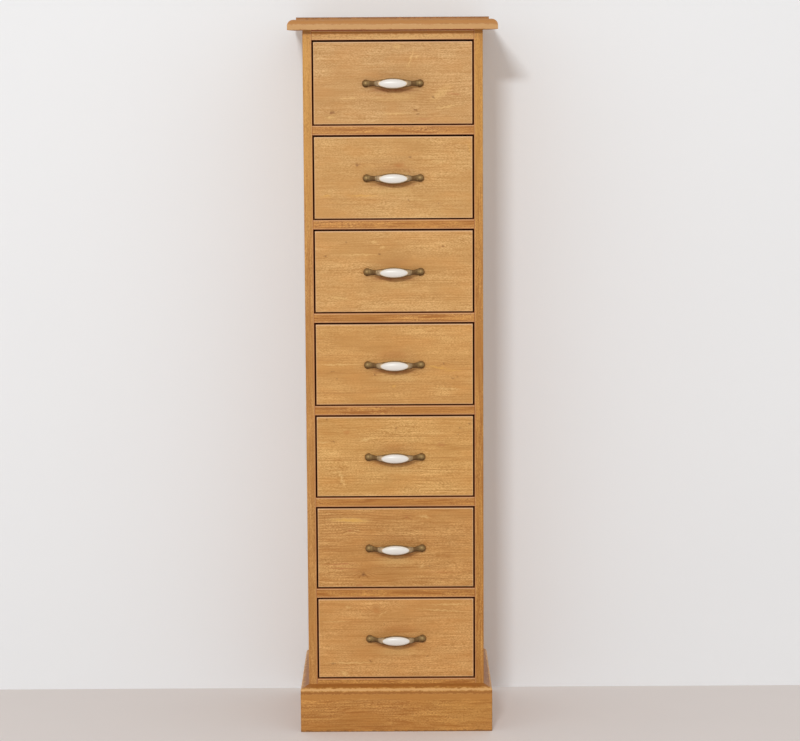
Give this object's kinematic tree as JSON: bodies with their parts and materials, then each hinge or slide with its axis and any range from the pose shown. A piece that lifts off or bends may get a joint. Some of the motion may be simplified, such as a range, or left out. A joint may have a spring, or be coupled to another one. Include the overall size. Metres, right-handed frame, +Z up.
{
  "type": "semainier",
  "caption": "Tall narrow semainier in stained fir: equal inset drawers on wooden runners, brass and porcelain bow handles, moulded top and mitred plinth.",
  "frame": {"origin": "on the floor, in the middle of the footprint of the whole piece, handles included", "axes": "+Z up, +X to the right of someone who faces the chest, +Y to the back; the drawers face -Y"},
  "size_m": [0.372, 0.312, 1.295],
  "materials": {
    "stained_fir_front": "brushed, honey-stained, satin varnish",
    "stained_fir_carcass": "brushed, honey-stained, satin varnish",
    "stained_fir_top": "brushed, honey-stained, satin varnish",
    "stained_fir_plinth": "brushed, honey-stained, satin varnish",
    "bare_fir": "planed and sanded, unstained",
    "birch_plywood": "sanded plywood",
    "fibreboard_panel": "smooth hardboard",
    "antique_brass": "cast, darkened and lightly rubbed",
    "glazed_porcelain": "white glazed porcelain, opaque",
    "zinc_plated_steel": "bright zinc plate"
  },
  "bodies": {
    "carcass": {"side_left": "stained_fir_carcass", "side_right": "stained_fir_carcass", "top_board": "stained_fir_top", "bottom_board": "stained_fir_carcass", "back_panel": "fibreboard_panel", "plinth_front": "stained_fir_plinth", "plinth_left": "stained_fir_plinth", "plinth_right": "stained_fir_plinth", "front_rails": "stained_fir_carcass", "drawer_runners": "bare_fir", "drawer_stops": "bare_fir"},
    "drawer_1": {"drawer_1_front": "stained_fir_front", "drawer_1_sides": "bare_fir", "drawer_1_back": "bare_fir", "drawer_1_bottom": "birch_plywood", "drawer_1_handle_bow": "antique_brass", "drawer_1_handle_grip": "glazed_porcelain", "drawer_1_handle_screws": "zinc_plated_steel"},
    "drawer_2": {"drawer_2_front": "stained_fir_front", "drawer_2_sides": "bare_fir", "drawer_2_back": "bare_fir", "drawer_2_bottom": "birch_plywood", "drawer_2_handle_bow": "antique_brass", "drawer_2_handle_grip": "glazed_porcelain", "drawer_2_handle_screws": "zinc_plated_steel"},
    "drawer_3": {"drawer_3_front": "stained_fir_front", "drawer_3_sides": "bare_fir", "drawer_3_back": "bare_fir", "drawer_3_bottom": "birch_plywood", "drawer_3_handle_bow": "antique_brass", "drawer_3_handle_grip": "glazed_porcelain", "drawer_3_handle_screws": "zinc_plated_steel"},
    "drawer_4": {"drawer_4_front": "stained_fir_front", "drawer_4_sides": "bare_fir", "drawer_4_back": "bare_fir", "drawer_4_bottom": "birch_plywood", "drawer_4_handle_bow": "antique_brass", "drawer_4_handle_grip": "glazed_porcelain", "drawer_4_handle_screws": "zinc_plated_steel"},
    "drawer_5": {"drawer_5_front": "stained_fir_front", "drawer_5_sides": "bare_fir", "drawer_5_back": "bare_fir", "drawer_5_bottom": "birch_plywood", "drawer_5_handle_bow": "antique_brass", "drawer_5_handle_grip": "glazed_porcelain", "drawer_5_handle_screws": "zinc_plated_steel"},
    "drawer_6": {"drawer_6_front": "stained_fir_front", "drawer_6_sides": "bare_fir", "drawer_6_back": "bare_fir", "drawer_6_bottom": "birch_plywood", "drawer_6_handle_bow": "antique_brass", "drawer_6_handle_grip": "glazed_porcelain", "drawer_6_handle_screws": "zinc_plated_steel"},
    "drawer_7": {"drawer_7_front": "stained_fir_front", "drawer_7_sides": "bare_fir", "drawer_7_back": "bare_fir", "drawer_7_bottom": "birch_plywood", "drawer_7_handle_bow": "antique_brass", "drawer_7_handle_grip": "glazed_porcelain", "drawer_7_handle_screws": "zinc_plated_steel"}
  },
  "joints": [
    {"name": "drawer_1_slide", "type": "slide", "parent": "carcass", "child": "drawer_1", "axis": [0, -1, 0], "range_m": [0, 0.2]},
    {"name": "drawer_2_slide", "type": "slide", "parent": "carcass", "child": "drawer_2", "axis": [0, -1, 0], "range_m": [0, 0.2]},
    {"name": "drawer_3_slide", "type": "slide", "parent": "carcass", "child": "drawer_3", "axis": [0, -1, 0], "range_m": [0, 0.2]},
    {"name": "drawer_4_slide", "type": "slide", "parent": "carcass", "child": "drawer_4", "axis": [0, -1, 0], "range_m": [0, 0.2]},
    {"name": "drawer_5_slide", "type": "slide", "parent": "carcass", "child": "drawer_5", "axis": [0, -1, 0], "range_m": [0, 0.2]},
    {"name": "drawer_6_slide", "type": "slide", "parent": "carcass", "child": "drawer_6", "axis": [0, -1, 0], "range_m": [0, 0.2]},
    {"name": "drawer_7_slide", "type": "slide", "parent": "carcass", "child": "drawer_7", "axis": [0, -1, 0], "range_m": [0, 0.2]}
  ]
}
